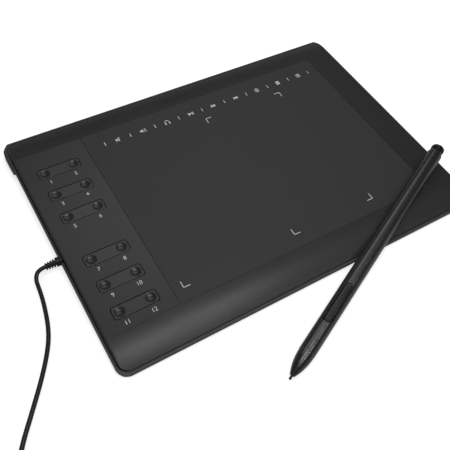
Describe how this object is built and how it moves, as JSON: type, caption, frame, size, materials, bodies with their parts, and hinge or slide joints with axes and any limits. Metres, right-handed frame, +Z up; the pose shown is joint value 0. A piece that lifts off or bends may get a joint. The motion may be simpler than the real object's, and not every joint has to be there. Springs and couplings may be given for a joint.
{
  "type": "graphics tablet",
  "caption": "Flat graphics tablet with a drawing panel, dished rocker keys along the left, a USB lead and a battery-free pen resting across its rolled front edge.",
  "frame": {"origin": "on the desk under the middle of the case, at the centre of the middle rubber foot", "axes": "+X along the case's length away from the keys, +Y towards the thick back edge, +Z up"},
  "size_m": [0.4823, 0.3964, 0.0291],
  "materials": {
    "cover_plastic": "satin",
    "base_plastic": "satin",
    "panel_sheet": "fine matt",
    "key_plastic": "satin",
    "carrier_plastic": "moulded",
    "circuit_board": "solder mask",
    "switch_metal": "stamped",
    "stem_plastic": "moulded",
    "screw_steel": "black zinc",
    "chip_epoxy": "moulded",
    "shield_foil": "rolled",
    "flex_film": "polyimide",
    "socket_plastic": "moulded",
    "foot_rubber": "matt",
    "cord_rubber": "satin",
    "plug_metal": "nickel plated",
    "tongue_plastic": "moulded",
    "nib_plastic": "acetal",
    "pen_soft_plastic": "satin",
    "pen_trim": "semi-gloss",
    "ferrite": "sintered",
    "copper_wire": "enamelled",
    "sensor_housing": "moulded"
  },
  "bodies": {
    "tablet": {"top_cover": "cover_plastic", "drawing_panel": "panel_sheet", "bottom_cover": "base_plastic", "rubber_feet": "foot_rubber", "case_screws": "screw_steel", "key_carrier": "carrier_plastic", "key_board": "circuit_board", "switch_bodies": "switch_metal", "switch_stems": "stem_plastic", "board_screws": "screw_steel", "controller_chips": "chip_epoxy", "sensor_board": "circuit_board", "sensor_shield": "shield_foil", "sensor_flex": "flex_film", "flex_sockets": "socket_plastic", "cable_relief": "cord_rubber", "inner_lead": "cord_rubber", "lead_plug": "socket_plastic", "lead_header": "socket_plastic", "usb_cable_tube": "cord_rubber", "usb_cable_coil": "cord_rubber", "usb_plug_body": "cord_rubber", "usb_plug_shell": "plug_metal", "usb_plug_tongue": "tongue_plastic"},
    "key_1": {"rocker_key_1": "key_plastic"},
    "key_2": {"rocker_key_2": "key_plastic"},
    "key_3": {"rocker_key_3": "key_plastic"},
    "key_4": {"rocker_key_4": "key_plastic"},
    "key_5": {"rocker_key_5": "key_plastic"},
    "key_6": {"rocker_key_6": "key_plastic"},
    "pen": {"pen_nose": "pen_soft_plastic", "pen_grip": "pen_soft_plastic", "pen_barrel": "pen_soft_plastic", "pen_cap": "pen_trim", "pen_ferrite": "ferrite", "pen_winding": "copper_wire", "pen_pressure_sensor": "sensor_housing", "pen_board": "circuit_board", "pen_switches": "switch_metal"},
    "nib": {"pen_nib": "nib_plastic"},
    "pen_rocker": {"pen_button": "pen_trim"}
  },
  "joints": [
    {"name": "key_1_rock", "type": "hinge", "parent": "tablet", "child": "key_1", "pos_m": [-0.1501, 0.07626, 0.00987], "axis": [0, 0.9998, 0.0174], "range_deg": [-2.2, 2.2], "stiffness_Nm_per_rad": 0.5},
    {"name": "key_2_rock", "type": "hinge", "parent": "tablet", "child": "key_2", "pos_m": [-0.1501, 0.04886, 0.0094], "axis": [0, 0.9998, 0.0174], "range_deg": [-2.2, 2.2], "stiffness_Nm_per_rad": 0.5},
    {"name": "key_3_rock", "type": "hinge", "parent": "tablet", "child": "key_3", "pos_m": [-0.1501, 0.02147, 0.00892], "axis": [0, 0.9998, 0.0174], "range_deg": [-2.2, 2.2], "stiffness_Nm_per_rad": 0.5},
    {"name": "key_4_rock", "type": "hinge", "parent": "tablet", "child": "key_4", "pos_m": [-0.1501, -0.02793, 0.00806], "axis": [0, 0.9998, 0.0174], "range_deg": [-2.2, 2.2], "stiffness_Nm_per_rad": 0.5},
    {"name": "key_5_rock", "type": "hinge", "parent": "tablet", "child": "key_5", "pos_m": [-0.1501, -0.05533, 0.00758], "axis": [0, 0.9998, 0.0174], "range_deg": [-2.2, 2.2], "stiffness_Nm_per_rad": 0.5},
    {"name": "key_6_rock", "type": "hinge", "parent": "tablet", "child": "key_6", "pos_m": [-0.1501, -0.08273, 0.00711], "axis": [0, 0.9998, 0.0174], "range_deg": [-2.2, 2.2], "stiffness_Nm_per_rad": 0.5},
    {"name": "pen_lift", "type": "slide", "parent": "tablet", "child": "pen", "axis": [0, 0, 1], "range_m": [0, 0.12]},
    {"name": "nib_press", "type": "slide", "parent": "pen", "child": "nib", "axis": [0.905, 0.4214, 0.0588], "range_m": [0, 0.0004], "stiffness_N_per_m": 3000},
    {"name": "pen_button_rock", "type": "hinge", "parent": "pen", "child": "pen_rocker", "pos_m": [-0.00682, -0.16256, 0.01411], "axis": [-0.423, 0.906, 0.0174], "range_deg": [-1.4, 1.4], "stiffness_Nm_per_rad": 0.05}
  ]
}
